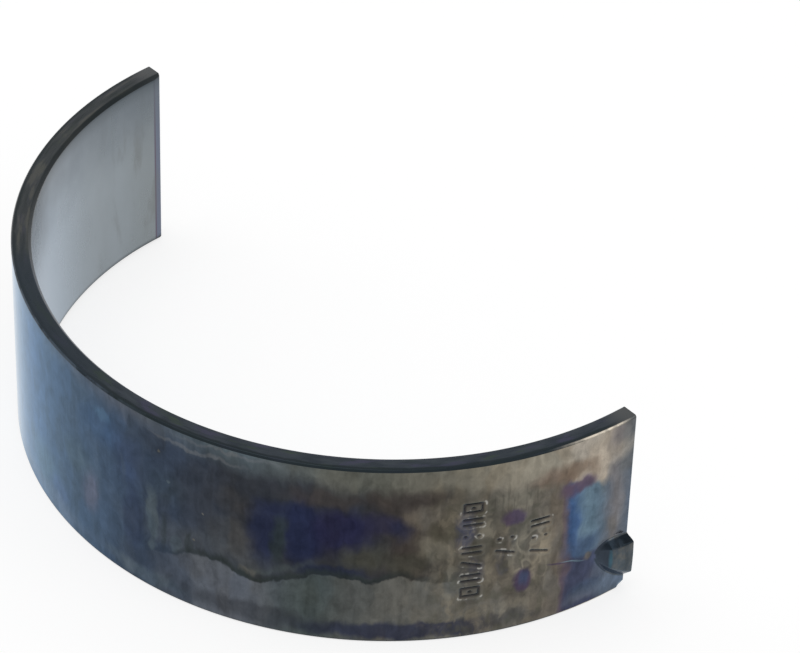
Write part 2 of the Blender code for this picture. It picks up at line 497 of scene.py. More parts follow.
# Tints of the oxide on the steel back
EDGE_GREY = tint(84, 92, 104)
SILVER = tint(97, 100, 106)
ROSE = tint(114, 109, 108)
BEIGE = tint(161, 152, 139)
TEAL = tint(91, 105, 117)
PALE_TEAL = tint(96, 116, 130)
BLUE = tint(77, 99, 125)
DEEP_BLUE = tint(64, 87, 119)
INK_BLUE = tint(60, 76, 103)
INDIGO = tint(61, 65, 86)
PLUM = tint(83, 73, 84)
VIOLET = tint(70, 60, 78)
BROWN = tint(97, 91, 83)
AMBER = tint(114, 99, 86)
STRAW = tint(95, 90, 82)
PALE_STRAW = tint(132, 125, 111)
DULL_STRAW = tint(107, 103, 92)
OLIVE = tint(82, 79, 71)
DARK_OLIVE = tint(62, 62, 55)
UMBER = tint(62, 57, 54)
CHARCOAL = tint(48, 50, 55)
NAVY = tint(34, 39, 62)
DEEP_NAVY = tint(36, 36, 62)
GREEN_GREY = tint(68, 75, 74)
ASH = tint(93, 92, 87)
MAUVE_GREY = tint(84, 88, 95)
SLATE = tint(51, 59, 73)
SLATE_BLUE = tint(62, 77, 97)
STEEL_BLUE = tint(68, 92, 124)
# The paler blue round 65 mm: blue tint with a painted reflection in it
PALE_BLUE_SHEEN = tint(104, 128, 154)
MIST = tint(74, 84, 90)
MOSS = tint(90, 90, 82)
WET_BLACK = tint(42, 48, 47)
DULL_STEEL = tint(86, 87, 89)
STEEL = tint(99, 99, 99)
LEAD = tint(80, 84, 93)
DUSK_BLUE = tint(70, 85, 105)
SAGE = tint(79, 81, 79)
PEWTER = tint(70, 75, 84)
DARK_TEAL = tint(46, 54, 56)
SOOT = tint(59, 58, 58)
DARK_ASH = tint(70, 70, 69)
SMOKE = tint(76, 80, 84)
SEA_SLATE = tint(54, 64, 72)
MIDNIGHT = tint(40, 47, 68)
LILAC_GREY = tint(94, 90, 102)
DENIM = tint(50, 70, 98)
SOFT_BLUE = tint(68, 92, 116)
DARK_BLUE = tint(46, 58, 86)
MIST_BLUE = tint(76, 86, 96)
SEA_GREY = tint(72, 86, 92)
SEA_BLUE = tint(84, 104, 112)
VIOLET_BLUE = tint(72, 86, 120)
PALE_SLATE = tint(98, 108, 124)
DUSTY_GREY = tint(94, 97, 101)
TAUPE = tint(70, 68, 65)
DARK_STRAW = tint(74, 71, 63)
KHAKI = tint(70, 67, 59)
SAND = tint(110, 105, 97)
MAUVE = tint(80, 68, 84)
VIVID_BLUE = tint(50, 76, 120)
ICE_BLUE = tint(110, 130, 142)
CLOUD_BLUE = tint(100, 111, 127)
BLUE_GREY = tint(90, 96, 108)
ICE_TEAL = tint(110, 134, 146)

# Patches between the marks
DULL_PATCH = tint(74, 73, 63)
PALE_PATCH = tint(118, 112, 99)

# The lug: its ramp and flank tints are painted shade, and its gleam is a painted highlight
LUG_DARK = tint(68, 74, 79)
LUG_LIGHT = tint(84, 85, 84)
LUG_RAMP_SHADE = tint(52, 58, 66)
LUG_PAINTED_HIGHLIGHT = tint(66, 100, 112)
LUG_UPPER_FLANK_SHADE = tint(30, 36, 42)
LUG_LOWER_FLANK_SHADE = tint(62, 68, 77)

# The stamped marks: dirt and painted shade in the grooves, wear and painted glints on the lips
MARK_DIRT_AND_SHADE = tint(46, 44, 46)
MARK_LIP_WEAR_AND_SHEEN = tint(128, 124, 115)
MARK_RUBBED_GLINT = tint(180, 178, 173)

# The rim edges, and the same beyond the crown; their darkness is partly painted shade, and the bright
# chamfer tint is a painted highlight
RIM_DARK = tint(46, 52, 59)
RIM_LIGHT = tint(58, 64, 70)
RIM_VIOLET = tint(62, 62, 80)
RIM_GREEN = tint(54, 64, 58)
RIM_OUTSIDE = tint(34, 41, 44)
RIM_END = tint(78, 80, 81)
RIM_DULL = tint(40, 48, 55)
RIM_INSIDE = tint(54, 62, 74)
FAR_RIM = tint(58, 60, 59)
FAR_RIM_LIGHT = tint(80, 80, 76)
FAR_RIM_DARK = tint(40, 46, 46)
FAR_RIM_INSIDE = tint(34, 39, 41)
CHAMFER_GLINT = tint(184, 175, 160)
CHAMFER_BLUE = tint(96, 108, 122)

# The lining in the bore, with painted shade under the rim and along its edges
LINING = tint(134, 142, 147)
LINING_LIGHT = tint(140, 148, 154)
LINING_CROWN = tint(158, 172, 186)
LINING_END = tint(128, 134, 136)
LINING_RELIEF = tint(92, 100, 122)
LINING_LINE = tint(92, 72, 84)
LINING_STAIN = tint(106, 108, 106)
LINING_HIGH = tint(98, 106, 114)
LINING_SHADE_UNDER_RIM = tint(66, 74, 78)
LINING_EDGE_SHADE = tint(64, 72, 78)

# The parting faces
PLANED_DARK = tint(92, 96, 104)
PLANED_LIGHT = tint(122, 122, 122)
PLANED_LINING = tint(74, 78, 98)

# Tints of the back's reflections at a low angle, dulled on the lug's flanks as painted shade, and shares
# that turn its tints cooler or warmer
GRAZING_LIGHT = tint(228, 243, 255)
GRAZING_LOWER_FLANK_SHADE = (0.6, 0.62, 0.65)
GRAZING_UPPER_FLANK_SHADE = (0.1, 0.11, 0.12)
COOL_CAST = (0.96, 1.0, 1.05)
WARM_CAST = (1.04, 1.0, 0.95)

# The tints from the lug's end round the back, at three heights: place along, and tint
MIDDLE_TINTS = (
    (0.0, EDGE_GREY),
    (0.7, SILVER),
    (1.4, ROSE),
    (2.2, SILVER),
    (3.1, TEAL),
    (4.0, PALE_TEAL),
    (4.6, PALE_TEAL),
    (5.1, BLUE),
    (5.7, DEEP_BLUE),
    (6.1, PLUM),
    (6.6, BROWN),
    (9.0, STRAW),
    (11.0, STRAW),
    (15.5, OLIVE),
    (19.5, UMBER),
    (23.0, CHARCOAL),
    (32.0, CHARCOAL),
    (39.0, SLATE),
    (50.0, SLATE_BLUE),
    (58.0, STEEL_BLUE),
    (65.0, PALE_BLUE_SHEEN),
    (72.0, STEEL_BLUE),
    (80.0, SLATE_BLUE),
    (88.0, CHARCOAL),
    (ARC_LENGTH, UMBER),
)
UPPER_TINTS = (
    (0.0, DULL_STEEL),
    (0.8, STEEL),
    (1.8, ROSE),
    (3.2, BEIGE),
    (5.2, BEIGE),
    (8.0, PALE_STRAW),
    (11.0, PALE_STRAW),
    (15.5, DULL_STRAW),
    (23.0, MOSS),
    (34.0, MIST),
    (45.0, LEAD),
    (58.0, DUSK_BLUE),
    (65.0, PALE_BLUE_SHEEN),
    (72.0, STEEL_BLUE),
    (84.0, MIST),
    (ARC_LENGTH, OLIVE),
)
LOWER_TINTS = (
    (0.0, EDGE_GREY),
    (2.0, EDGE_GREY),
    (3.6, INDIGO),
    (5.8, INDIGO),
    (6.2, PLUM),
    (6.7, BROWN),
    (9.0, STRAW),
    (16.0, ASH),
    (20.0, ASH),
    (23.5, SAGE),
    (27.0, GREEN_GREY),
    (33.0, MAUVE_GREY),
    (36.4, MAUVE_GREY),
    (37.4, PEWTER),
    (42.0, SLATE),
    (48.0, SLATE_BLUE),
    (58.0, STEEL_BLUE),
    (65.0, PALE_BLUE_SHEEN),
    (72.0, STEEL_BLUE),
    (84.0, SLATE),
    (ARC_LENGTH, OLIVE),
)

# Heights at which the middle tints give way to the lower and the upper ones: place along, height
TIDE_LINE = (
    (0.0, 5.4),
    (6.6, 5.6),
    (8.5, 3.2),
    (13.0, 4.0),
    (15.5, 6.3),
    (17.2, 6.1),
    (20.0, 6.8),
    (22.5, 6.3),
    (26.0, 6.6),
    (28.0, 6.1),
    (30.0, 5.5),
    (31.5, 4.8),
    (33.0, 5.2),
    (34.5, 5.7),
    (36.2, 5.5),
    (39.5, 4.1),
    (48.0, 3.0),
    (ARC_LENGTH, 4.0),
)
UPPER_LINE = (
    (0.0, 12.2),
    (2.5, 12.4),
    (3.6, 12.9),
    (5.4, 13.6),
    (7.2, 15.3),
    (11.0, 14.8),
    (16.0, 15.2),
    (22.0, 15.3),
    (30.0, 15.9),
    (36.0, 16.3),
    (40.0, 16.6),
    (55.0, 16.8),
    (ARC_LENGTH, 15.5),
)

# Stains over those tints, and painted shade along the lower edge: centre, half size, softness of the edge,
# tint and strength
STAINS_AND_SHADE = (
    # The navy patch in the middle of the back, with a teal stripe
    ((30.6, 9.8), (1.4, 3.0), 0.5, NAVY, 0.8),
    ((28.9, 12.8), (2.0, 0.9), 0.6, NAVY, 0.7),
    ((27.4, 10.9), (1.6, 3.6), 0.4, NAVY, 0.95),
    ((24.6, 11.2), (2.2, 2.4), 0.45, DEEP_NAVY, 0.85),
    ((21.5, 12.2), (1.8, 1.0), 0.6, DEEP_NAVY, 0.6),
    ((19.8, 11.6), (1.0, 1.0), 0.6, NAVY, 0.6),
    ((29.4, 9.6), (0.6, 2.4), 0.5, DARK_TEAL, 0.8),
    # Olive, brown and straw patches round it
    ((22.6, 8.9), (2.0, 1.2), 0.6, DARK_OLIVE, 0.8),
    ((19.4, 8.2), (1.5, 1.2), 0.5, DARK_OLIVE, 0.7),
    ((19.2, 14.8), (3.2, 1.1), 0.6, UMBER, 0.85),
    ((26.0, 14.6), (3.0, 0.7), 0.6, UMBER, 0.6),
    ((18.0, 13.0), (1.5, 1.1), 0.5, STRAW, 0.7),
    ((17.4, 9.6), (1.0, 1.1), 0.45, DULL_STRAW, 0.7),
    ((15.9, 9.4), (0.5, 1.0), 0.45, ASH, 0.35),
    ((17.2, 4.6), (1.6, 1.6), 0.6, ASH, 0.6),
    # The dull stretch beyond it
    ((33.2, 12.6), (1.5, 1.3), 0.5, SOOT, 0.5),
    ((33.8, 8.6), (2.2, 1.9), 0.5, DARK_ASH, 0.5),
    ((36.0, 6.6), (6.5, 1.5), 0.6, SMOKE, 0.5),
    ((36.6, 12.2), (2.0, 2.6), 0.6, CHARCOAL, 0.5),
    ((39.2, 11.2), (1.5, 1.6), 0.6, SEA_SLATE, 0.4),
    # Upright runs, dark and pale
    ((40.6, 8.0), (0.6, 2.6), 0.3, MIST, 0.7),
    ((40.6, 4.6), (0.5, 0.7), 0.4, MIST, 0.6),
    ((38.2, 5.9), (0.35, 1.0), 0.4, MIST, 0.5),
    ((37.2, 6.4), (0.3, 1.3), 0.35, WET_BLACK, 0.5),
    ((39.4, 6.6), (0.35, 1.8), 0.35, WET_BLACK, 0.4),
    ((42.7, 6.4), (1.1, 3.0), 0.35, MIDNIGHT, 0.6),
    ((43.6, 11.5), (0.3, 1.3), 0.5, MIST, 0.4),
    # Patches in the blue
    ((47.6, 6.2), (1.1, 1.9), 0.6, LILAC_GREY, 0.6),
    ((46.3, 13.8), (2.0, 1.8), 0.6, DENIM, 0.6),
    ((46.0, 15.1), (1.0, 0.45), 0.6, SOFT_BLUE, 0.6),
    ((43.2, 12.0), (1.4, 2.4), 0.6, DARK_BLUE, 0.5),
    ((41.5, 1.1), (4.0, 0.7), 0.6, MIST_BLUE, 0.9),
    ((49.4, 8.6), (1.6, 1.7), 0.6, SEA_GREY, 0.4),
    ((55.3, 3.6), (2.6, 2.2), 0.6, SEA_BLUE, 0.5),
    ((52.4, 2.6), (1.4, 1.2), 0.6, VIOLET_BLUE, 0.5),
    ((54.6, 1.2), (5.4, 0.9), 0.6, PALE_SLATE, 0.6),
    # Navy over the tide line
    ((25.4, 7.2), (2.6, 0.5), 0.6, NAVY, 0.7),
    # Pale specks
    ((40.0, 14.8), (0.1, 0.14), 0.5, ASH, 0.8),
    ((39.2, 12.0), (0.14, 0.1), 0.5, MIST, 0.8),
    ((35.8, 10.3), (0.1, 0.14), 0.5, ASH, 0.8),
    ((36.7, 7.1), (0.1, 0.12), 0.5, ASH, 0.9),
    # Dusty lines under the rim
    ((36.4, 16.35), (3.6, 0.2), 0.5, DUSTY_GREY, 0.6),
    ((33.6, 17.2), (4.0, 0.16), 0.5, DUSTY_GREY, 0.5),
    # The dark band along the lower edge: navy, olive and charcoal tint, partly painted shade
    ((18.6, 1.15), (9.2, 0.85), 0.35, NAVY, 0.75),
    ((11.4, 1.1), (2.6, 0.8), 0.6, OLIVE, 0.6),
    ((31.6, 1.5), (7.6, 0.9), 0.5, CHARCOAL, 0.55),
    # Two drops in the tide line
    ((31.7, 5.75), (0.32, 0.35), 0.5, ASH, 0.6),
    ((32.4, 5.8), (0.35, 0.4), 0.5, ASH, 0.6),
    # Dark ground and indigo under the first and second columns of marks
    ((14.4, 9.3), (1.15, 5.2), 0.3, TAUPE, 0.8),
    ((14.7, 11.2), (0.9, 1.7), 0.4, INDIGO, 0.6),
    ((13.9, 7.4), (0.7, 1.2), 0.4, INDIGO, 0.35),
    ((11.6, 9.0), (0.9, 1.4), 0.35, INDIGO, 0.6),
    ((11.7, 7.0), (0.45, 0.6), 0.5, INDIGO, 0.5),
    # Straw patches round the marks
    ((12.9, 11.4), (0.9, 2.2), 0.6, DARK_STRAW, 0.5),
    ((16.7, 11.4), (0.9, 0.9), 0.6, KHAKI, 0.7),
    ((7.4, 8.0), (0.6, 1.4), 0.6, SAND, 0.6),
    ((8.3, 6.9), (0.8, 1.2), 0.5, PALE_STRAW, 0.4),
    ((7.8, 8.8), (0.4, 1.4), 0.6, PALE_STRAW, 0.3),
    ((10.1, 8.4), (0.4, 1.5), 0.5, DULL_STRAW, 0.7),
    ((11.4, 9.4), (2.4, 1.9), 0.6, OLIVE, 0.85),
    ((10.9, 13.6), (1.9, 1.0), 0.6, DULL_STRAW, 0.6),
    # Amber and mauve over the blue patch by the lug, and the blue in it
    ((7.8, 14.9), (1.6, 0.9), 0.6, AMBER, 0.8),
    ((5.6, 15.0), (1.9, 0.8), 0.6, AMBER, 0.85),
    ((4.0, 14.2), (0.6, 0.7), 0.6, AMBER, 0.5),
    ((5.2, 13.3), (1.5, 0.7), 0.45, MAUVE, 0.95),
    ((5.5, 9.6), (0.42, 3.0), 0.5, VIVID_BLUE, 0.6),
    ((4.4, 11.6), (0.4, 1.0), 0.6, ICE_BLUE, 0.2),
    ((4.6, 6.7), (1.5, 1.1), 0.6, INK_BLUE, 0.8),
    # The end above and below the lug
    ((1.7, 7.4), (0.5, 1.0), 0.6, BROWN, 0.6),
    ((1.0, 9.6), (0.35, 1.8), 0.6, ROSE, 0.5),
    ((2.2, 3.0), (1.3, 0.9), 0.6, MAUVE_GREY, 0.5),
    ((1.6, 1.4), (2.0, 0.8), 0.6, CLOUD_BLUE, 0.6),
    ((1.5, 15.0), (1.6, 1.0), 0.6, BEIGE, 0.6),
    ((4.6, 1.2), (1.3, 0.7), 0.6, BLUE_GREY, 0.6),
    ((4.1, 2.0), (1.3, 0.7), 0.6, SLATE_BLUE, 0.5),
    ((4.0, 5.35), (0.45, 0.4), 0.5, BROWN, 0.8),
)

# Violet spots, in the same form, with plainer outlines
VIOLET_SPOTS = (
    ((10.9, 11.8), (1.0, 0.8), 0.3, VIOLET, 0.9),
    ((9.9, 5.0), (0.8, 1.2), 0.25, VIOLET, 0.95),
    ((9.8, 5.2), (0.45, 0.7), 0.6, INK_BLUE, 0.6),
)

# A thin run of liquid that dried between the marks and the lug, violet and then pale, in the same
# form. Its heights are for a level run, which is then tilted about its start to fall to the lug
RUN_SLOPE = 0.25
RUN_START = 6.2
DRIED_RUN = (
    ((6.9, 5.42), (0.8, 0.09), 0.6, VIOLET, 0.8),
    ((5.7, 5.5), (0.7, 0.06), 0.6, ICE_TEAL, 0.7),
    ((4.9, 5.4), (0.5, 0.06), 0.6, ICE_TEAL, 0.5),
)


def tinted_back():
    """Steel back with heat tint: silver, blue and straw by the lug, then dark, then blue again with a
    painted reflection in it; painted shade along the lower edge and on the lug, and painted glints on the
    lug and the marks.
    """
    graph = Graph("tinted_back")
    coarse = graph.wander((0.4, 0.3, 0.4), (1.6, 1.8, 0), 2.0)
    fine = graph.wander((1.5, 0.7, 1.0), (0.55, 0.8, 0), 2.5)
    place = graph.vector('ADD', graph.place, graph.vector('ADD', coarse, fine))
    calm_place = graph.vector('ADD', graph.place, graph.vector('MULTIPLY', coarse, (0.2, 0.2, 0)))
    way, height, _ = graph.parts(place)
    colour, over_tide = banded(graph, way, height)
    colour = graph.with_ovals(colour, place, STAINS_AND_SHADE)
    colour = drying_lines(graph, colour, way, over_tide)
    colour = straw_field(graph, colour, place)
    colour = graph.with_ovals(colour, graph.vector('ADD', graph.place, fine), VIOLET_SPOTS)
    colour = dried_run(graph, colour, calm_place)
    colour = lug_tints(graph, colour)
    colour, mottle = mottled(graph, colour, place)
    colour = mark_dirt_shade_and_glints(graph, colour)
    graph.put(colour, graph.shader.inputs["Base Color"])
    graph.shader.inputs["Metallic"].default_value = 1.0
    graph.put(grazing_tint(graph), graph.shader.inputs["Specular Tint"])
    smooth_left = graph.step(way, 34.0, 50.0, 0.1, 0.04)
    smooth_far = graph.step(way, 57.0, 63.0, 0.0, -0.07)
    roughness = graph.affine(mottle, 0.2, graph.math('ADD', smooth_left, smooth_far))
    graph.put(roughness, graph.shader.inputs["Roughness"])
    lines = graph.noise(graph.place, (7.0, 0.5, 1.0), 3.0)
    graph.put(graph.bump(lines, 0.003), graph.shader.inputs["Normal"])
    return graph.material


def banded(graph, way, height):
    """The tints in three bands, one over another, and the height over the tide line between two."""
    share = graph.math('DIVIDE', way, ARC_LENGTH)
    over_tide = graph.math('SUBTRACT', height, graph.profile(share, TIDE_LINE))
    sharper = graph.step(way, 14.0, 16.0, 0.6, 0.15)
    softer = graph.step(way, 40.0, 50.0, 0.0, 1.6)
    tide_edge = graph.math('ADD', sharper, softer)
    lower = graph.step(graph.math('DIVIDE', over_tide, tide_edge), 1.0, -1.0)
    colour = graph.mix(lower, graph.ramp(share, MIDDLE_TINTS), graph.ramp(share, LOWER_TINTS))
    over_upper = graph.math('SUBTRACT', height, graph.profile(share, UPPER_LINE))
    upper_edge = graph.step(way, 6.0, 12.0, 0.5, 1.5)
    upper = graph.step(graph.math('DIVIDE', over_upper, upper_edge), -0.7, 1.0)
    return graph.mix(upper, colour, graph.ramp(share, UPPER_TINTS)), over_tide


def drying_lines(graph, colour, way, over_tide):
    """The dark line left where a liquid dried, with a thin pale one over it in places."""
    thick = graph.affine(graph.noise(graph.place, (0.35, 0.0, 0.0), 2.0), 0.9, 0.1)
    raised = graph.math('DIVIDE', over_tide, thick)
    dark = graph.between(raised, -0.25, 0.3, 0.4, 2.0)
    dark = graph.product(dark, graph.between(way, 11.0, 24.0, 34.0, 42.0))
    colour = graph.over(colour, WET_BLACK, dark, 0.8)
    pale = graph.between(raised, 1.2, 2.0, 2.0, 3.2)
    pale = graph.product(pale, graph.between(way, 25.0, 28.0, 31.0, 33.0))
    return graph.over(colour, GREEN_GREY, pale, 0.45)


def straw_field(graph, colour, place):
    """Dull and pale patches round the marks, with drying rings and short upright combed strokes."""
    way, height, _ = graph.parts(place)
    field = graph.product(graph.between(way, 7.0, 8.5, 15.0, 20.0), graph.step(height, 15.0, 14.0))
    patch = graph.noise(place, (0.9, 0.6, 1.0), 3.0)
    colour = graph.over(colour, DULL_PATCH, graph.product(graph.step(patch, 0.5, 0.35), field), 0.55)
    colour = graph.over(colour, PALE_PATCH, graph.product(graph.step(patch, 0.5, 0.65), field), 0.45)
    cloud = graph.noise(place, (1.0, 0.6, 1.0), 1.0)
    ring = graph.step(graph.math('ABSOLUTE', graph.math('SUBTRACT', cloud, 0.5)), 0.12, 0.02)
    low = graph.blob(graph.place, (9.0, 7.4), (2.2, 2.8), 0.5)
    colour = graph.over(colour, PALE_STRAW, graph.product(ring, field, graph.affine(low, 0.55, 0.05)))
    strokes = graph.step(graph.noise(graph.place, (4.5, 0.45, 1.0), 2.0), 0.52, 0.62)
    combed = graph.blob(graph.place, (10.6, 13.4), (2.6, 1.7), 0.4)
    return graph.over(colour, OLIVE, graph.product(strokes, combed), 0.5)


def dried_run(graph, colour, place):
    """A thin run of liquid that dried between the marks and the lug, and falls towards the lug."""
    way, height, _ = graph.parts(place)
    fall = graph.affine(way, -RUN_SLOPE, RUN_SLOPE * RUN_START)
    sheared = graph.node("ShaderNodeCombineXYZ", {0: way, 1: graph.math('ADD', height, fall)})
    return graph.with_ovals(colour, sheared.outputs[0], DRIED_RUN)


def lug_tints(graph, colour):
    """The lug is darker than the back round it, with painted shade: nearly black on its upper flank,
    darker on its lower flank, its ramp and the creases round it, and a painted highlight where its crest
    bends into the ramp.
    """
    way, _, depth = graph.parts(graph.place)
    slope = graph.lug_slope()
    # Steep places, the lug's flanks and the creases round its foot, take the lug's darker tints: painted
    # shade
    shaded_steep = graph.step(graph.math('ABSOLUTE', slope), 0.02, 0.2)
    on_lug = graph.math('MAXIMUM', graph.step(depth, -0.03, -0.12), shaded_steep)
    grain = graph.noise(graph.place, (2.0, 1.2, 2.0), 4.0)
    lug = graph.mix(graph.step(grain, 0.35, 0.65), LUG_DARK, LUG_LIGHT)
    bend = LUG_LENGTH * RAMP_START
    # The ramp beyond the bend is painted darker: painted shade on the sloping facet
    lug = graph.over(lug, LUG_RAMP_SHADE, graph.step(way, bend - 0.1, bend + 0.1))
    # Painted highlight: a reflection streak where the crest bends into the ramp
    lug = graph.over(lug, LUG_PAINTED_HIGHLIGHT, graph.blob(graph.place, (bend + 0.1, 4.4), (0.14, 0.9), 0.7), 0.55)
    # Painted shade on the flanks: nearly black on the upper one, darker on the lower one
    lug = graph.over(lug, LUG_UPPER_FLANK_SHADE, graph.step(slope, -0.5, -0.95))
    lug = graph.over(lug, LUG_LOWER_FLANK_SHADE, graph.step(slope, 0.3, 0.8))
    return graph.mix(on_lug, colour, lug)


def mottled(graph, colour, place):
    """Uneven oxide: soft upright patches, blotches and streaks, warm or cool, light or dark."""
    cells = graph.node(
        "ShaderNodeTexVoronoi",
        {"Vector": graph.vector('MULTIPLY', place, (0.75, 0.32, 0.5)), "Scale": 1.0, "Smoothness": 0.6},
        feature='SMOOTH_F1',
    )
    patch, hue, _ = graph.parts(cells.outputs["Color"])
    streak = graph.noise(graph.place, (2.0, 0.16, 1.0), 3.0)
    blotch = graph.noise(place, (1.1, 0.7, 1.0), 4.0, 0.6)
    mottle = graph.noise(place, (3.0, 1.4, 1.0), 4.0)
    shade = -0.02
    for cloud, share in ((streak, 0.42), (blotch, 1.2), (patch, 0.26), (mottle, 0.22)):
        shade = graph.affine(cloud, share, shade)
    colour = graph.mix(1.0, colour, shade, 'MULTIPLY')
    cast = graph.mix(hue, COOL_CAST, WARM_CAST)
    return graph.mix(1.0, colour, cast, 'MULTIPLY'), mottle


def mark_dirt_shade_and_glints(graph, colour):
    """Dirt and painted shade lie in the stamped strokes; the lips beside them are worn lighter with a
    painted sheen, and rubbed bright with painted glints in places.
    """
    way, _, depth = graph.parts(graph.place)
    past_lug = graph.step(way, 6.5, 7.0)
    # Dark in the grooves: dirt, and painted shade in the recess
    dirt_and_shade = graph.product(graph.step(depth, 0.008, STAMP_DEPTH * 0.7), past_lug)
    colour = graph.over(colour, MARK_DIRT_AND_SHADE, dirt_and_shade, 0.75)
    # Lighter lips and rubbed glints: wear, and painted highlights on the raised lips
    lip = graph.product(graph.step(depth, -0.006, -STAMP_LIP * 0.9), past_lug)
    colour = graph.over(colour, MARK_LIP_WEAR_AND_SHEEN, lip, 0.15)
    rubbed_glint = graph.step(graph.noise(graph.place, (1.3, 1.1, 1.0), 2.0), 0.55, 0.67)
    return graph.over(colour, MARK_RUBBED_GLINT, graph.product(lip, rubbed_glint), 0.65)


def grazing_tint(graph):
    """Colour of the back's reflections at a low angle, duller on the lug's flanks as painted shade."""
    slope = graph.lug_slope()
    shaded_steep = graph.step(graph.math('ABSOLUTE', slope), 0.25, 0.6)
    grazing = graph.mix(shaded_steep, GRAZING_LIGHT, GRAZING_LOWER_FLANK_SHADE)
    return graph.mix(graph.step(slope, -0.25, -0.6), grazing, GRAZING_UPPER_FLANK_SHADE)


def satin(name, dark, light, roughness, scale, lines, line_depth):
    """A metal surface between two tones, with cloudy roughness and fine lines in its bump."""
    graph = Graph(name)
    cloud = graph.noise(graph.place, scale, 4.0)
    colour = graph.mix(graph.step(cloud, 0.3, 0.7), dark, light)
    graph.shader.inputs["Metallic"].default_value = 1.0
    graph.put(graph.affine(cloud, 0.12, roughness), graph.shader.inputs["Roughness"])
    fine = graph.noise(graph.place, lines, 3.0)
    graph.put(graph.bump(fine, line_depth), graph.shader.inputs["Normal"])
    return graph, colour


def dark_rim():
    """Rim edges and their chamfers: nearly black, partly oxide and partly painted shade on these upward
    faces, with blue, violet and green casts.
    """
    graph, colour = satin("dark_rim", RIM_DARK, RIM_LIGHT, 0.22, (0.5, 0.5, 2.0), (0.5, 9.0, 9.0), 0.003)
    way, _, depth = graph.parts(graph.place)
    hue = graph.noise(graph.place, (0.35, 0.35, 1.6), 3.0)
    colour = graph.over(colour, RIM_VIOLET, graph.step(hue, 0.54, 0.68), 0.7)
    colour = graph.over(colour, RIM_GREEN, graph.step(hue, 0.44, 0.3))
    far = graph.step(way, 60.0, 68.0)
    colour = graph.over(colour, FAR_RIM, far, 0.6)
    smear = graph.noise(graph.place, (0.3, 1.5, 2.5), 4.0)
    colour = graph.over(colour, FAR_RIM_LIGHT, graph.product(far, graph.step(smear, 0.48, 0.62)), 0.6)
    colour = graph.over(colour, FAR_RIM_DARK, graph.product(far, graph.step(smear, 0.46, 0.34)), 0.6)
    seam = graph.affine(graph.noise(graph.place, (0.4, 0.0, 0.0), 3.0), 0.5, 0.1)
    outside = graph.step(graph.math('SUBTRACT', depth, seam), 0.12, -0.06)
    colour = graph.over(colour, RIM_OUTSIDE, outside, 0.8)
    colour = graph.over(colour, RIM_END, graph.step(graph.from_end(), 3.0, 0.5))
    colour = graph.over(colour, RIM_DULL, graph.between(way, 44.0, 50.0, 62.0, 68.0), 0.75)
    inner_line = WALL - INNER_CHAMFER[0]
    inside = graph.step(depth, inner_line - 0.1, inner_line + 0.06)
    colour = graph.over(colour, graph.mix(far, RIM_INSIDE, FAR_RIM_INSIDE), inside, 0.8)
    chamfer = graph.step(depth, OUTER_CHAMFER[0] + 0.02, OUTER_CHAMFER[0] * 0.6)
    # Painted highlight along the outer chamfer by the lug, broken up a little by scuffs
    scuffs = graph.step(graph.noise(graph.place, (0.9, 1.0, 1.0), 4.0), 0.38, 0.6)
    glint_by_lug = graph.product(graph.between(way, 0.4, 1.6, 3.0, 8.5), graph.affine(scuffs, 0.5, 0.5), chamfer)
    colour = graph.over(colour, CHAMFER_GLINT, glint_by_lug)
    on_left = graph.product(graph.between(way, 38.0, 50.0, 62.0, 72.0), chamfer, scuffs)
    colour = graph.over(colour, CHAMFER_BLUE, on_left, 0.35)
    graph.put(colour, graph.shader.inputs["Base Color"])
    return graph.material


def plain_lining():
    """The bore: an even satin grey lining, bluer round the crown, with painted shade under the upper rim
    and along both edges.
    """
    graph, colour = satin(
        "plain_lining", LINING, LINING_LIGHT, 0.22, (0.3, 0.12, 0.3), (2.0, 0.15, 0.5), 0.0006
    )
    height = graph.parts(graph.place)[1]
    from_end = graph.from_end()
    colour = graph.over(colour, LINING_CROWN, graph.step(from_end, 7.0, 21.0))
    colour = graph.over(colour, LINING_END, graph.step(from_end, 6.0, 1.0), 0.6)
    colour = graph.over(colour, LINING_RELIEF, graph.step(from_end, 0.95, 0.65), 0.8)
    colour = graph.over(colour, LINING_LINE, graph.between(from_end, 0.6, 0.7, 0.75, 0.85), 0.7)
    overlay = graph.step(graph.noise(graph.place, (0.6, 0.16, 1.0), 4.0), 0.52, 0.7)
    colour = graph.over(colour, LINING_STAIN, graph.product(overlay, graph.step(from_end, 12.0, 3.0)), 0.4)
    cloud = graph.noise(graph.place, (0.4, 0.3, 1.0), 3.0)
    level = graph.math('ADD', height, graph.affine(cloud, 4.0, -2.0))
    colour = graph.over(colour, LINING_HIGH, graph.step(level, 9.0, 18.0), 0.75)
    # Painted shade under the upper rim and along both edges of the bore
    below_rim = graph.math('SUBTRACT', WIDTH, height)
    colour = graph.over(colour, LINING_SHADE_UNDER_RIM, graph.step(below_rim, 2.0, 0.2), 0.5)
    from_rim = graph.math('MINIMUM', height, below_rim)
    colour = graph.over(colour, LINING_EDGE_SHADE, graph.step(from_rim, 0.7, 0.3), 0.6)
    graph.put(colour, graph.shader.inputs["Base Color"])
    return graph.material


def parting_face():
    """The planed ends: bright steel outside, a darker lining band inside."""
    graph, colour = satin(
        "parting_face", PLANED_DARK, PLANED_LIGHT, 0.24, (1.0, 0.5, 1.5), (1.0, 0.6, 14.0), 0.003
    )
    depth = graph.parts(graph.place)[2]
    colour = graph.over(colour, PLANED_LINING, graph.step(depth, WALL * 0.55, WALL * 0.65), 0.7)
    graph.put(colour, graph.shader.inputs["Base Color"])
    return graph.material


def seen_rays(tree):
    """1 for rays that show a background: those of the camera, of gloss and of glass."""
    path = tree.nodes.new("ShaderNodeLightPath")
    total = path.outputs["Is Camera Ray"]
    for name in ("Is Glossy Ray", "Is Transmission Ray"):
        larger = tree.nodes.new("ShaderNodeMath")
        larger.operation = 'MAXIMUM'
        tree.links.new(total, larger.inputs[0])
        tree.links.new(path.outputs[name], larger.inputs[1])
        total = larger.outputs[0]
    return total


